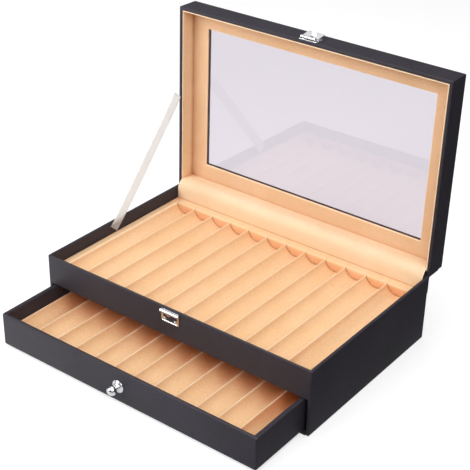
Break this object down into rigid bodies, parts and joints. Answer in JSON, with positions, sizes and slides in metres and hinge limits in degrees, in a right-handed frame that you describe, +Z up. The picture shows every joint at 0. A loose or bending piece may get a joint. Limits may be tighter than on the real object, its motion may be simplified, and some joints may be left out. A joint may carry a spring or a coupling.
{
  "type": "pen collector chest",
  "caption": "Leathercloth-covered chest for pens with a glass-topped hinged lid held by a ribbon, a grooved suede tray, and a grooved drawer with a ball knob below.",
  "frame": {"origin": "centre of the chest's flat underside", "axes": "+X to the right seen from the front, +Y to the back, +Z up; the lid stands open and the drawer stands partly out"},
  "size_m": [0.34, 0.3355, 0.2986],
  "materials": {
    "leathercloth": "black fine-grained leathercloth, satin, over board",
    "suede_lining": "peach suede cloth, matt with a soft nap",
    "chrome": "polished bright plating",
    "covered_board": "fibreboard covered with black paper",
    "glass": "clear float glass, polished",
    "ribbon": "white satin ribbon",
    "steel": "bright zinc-plated screw"
  },
  "bodies": {
    "chest": {"left_wall": "leathercloth", "right_wall": "leathercloth", "back_wall": "leathercloth", "base_board": "covered_board", "shelf_board": "covered_board", "front_fascia": "leathercloth", "keeper_plate": "chrome", "keeper_pins": "chrome", "tray_ridge_rails": "suede_lining", "tray_left_rail": "suede_lining", "tray_right_rail": "suede_lining", "tray_front_end": "suede_lining", "tray_back_end": "suede_lining", "hinge_lining_chest": "suede_lining", "ribbon_stay": "ribbon", "spine_hinge": "leathercloth"},
    "drawer": {"drawer_front": "leathercloth", "drawer_left_side": "leathercloth", "drawer_right_side": "leathercloth", "drawer_back": "leathercloth", "drawer_bottom": "covered_board", "drawer_ridge_rails": "suede_lining", "drawer_left_rail": "suede_lining", "drawer_right_rail": "suede_lining", "drawer_front_end": "suede_lining", "drawer_back_end": "suede_lining", "knob_rosette": "chrome", "knob_ball": "chrome", "knob_screw": "steel"},
    "lid": {"lid_front_wall": "leathercloth", "lid_left_wall": "leathercloth", "lid_right_wall": "leathercloth", "lid_back_wall": "leathercloth", "lid_window_board": "leathercloth", "lid_liner_frame": "suede_lining", "glass_pane": "glass", "lid_left_liner": "suede_lining", "lid_right_liner": "suede_lining", "lid_front_liner": "suede_lining", "hinge_lining_lid": "suede_lining", "latch_plate": "chrome", "latch_pins": "chrome", "hasp_pin": "chrome"},
    "hasp": {"hasp": "chrome"}
  },
  "joints": [
    {"name": "lid_hinge", "type": "hinge", "parent": "chest", "child": "lid", "pos_m": [0, 0.1085, 0.0755], "axis": [1, 0, 0], "range_deg": [0, 90.85], "deforming": ["ribbon_stay", "spine_hinge"]},
    {"name": "drawer_slide", "type": "slide", "parent": "chest", "child": "drawer", "axis": [0, -1, 0], "range_m": [-0.0736, 0.08]},
    {"name": "hasp_hinge", "type": "hinge", "parent": "lid", "child": "hasp", "pos_m": [0, 0.11437, 0.29564], "axis": [1, 0, 0], "range_deg": [0, 172]}
  ]
}
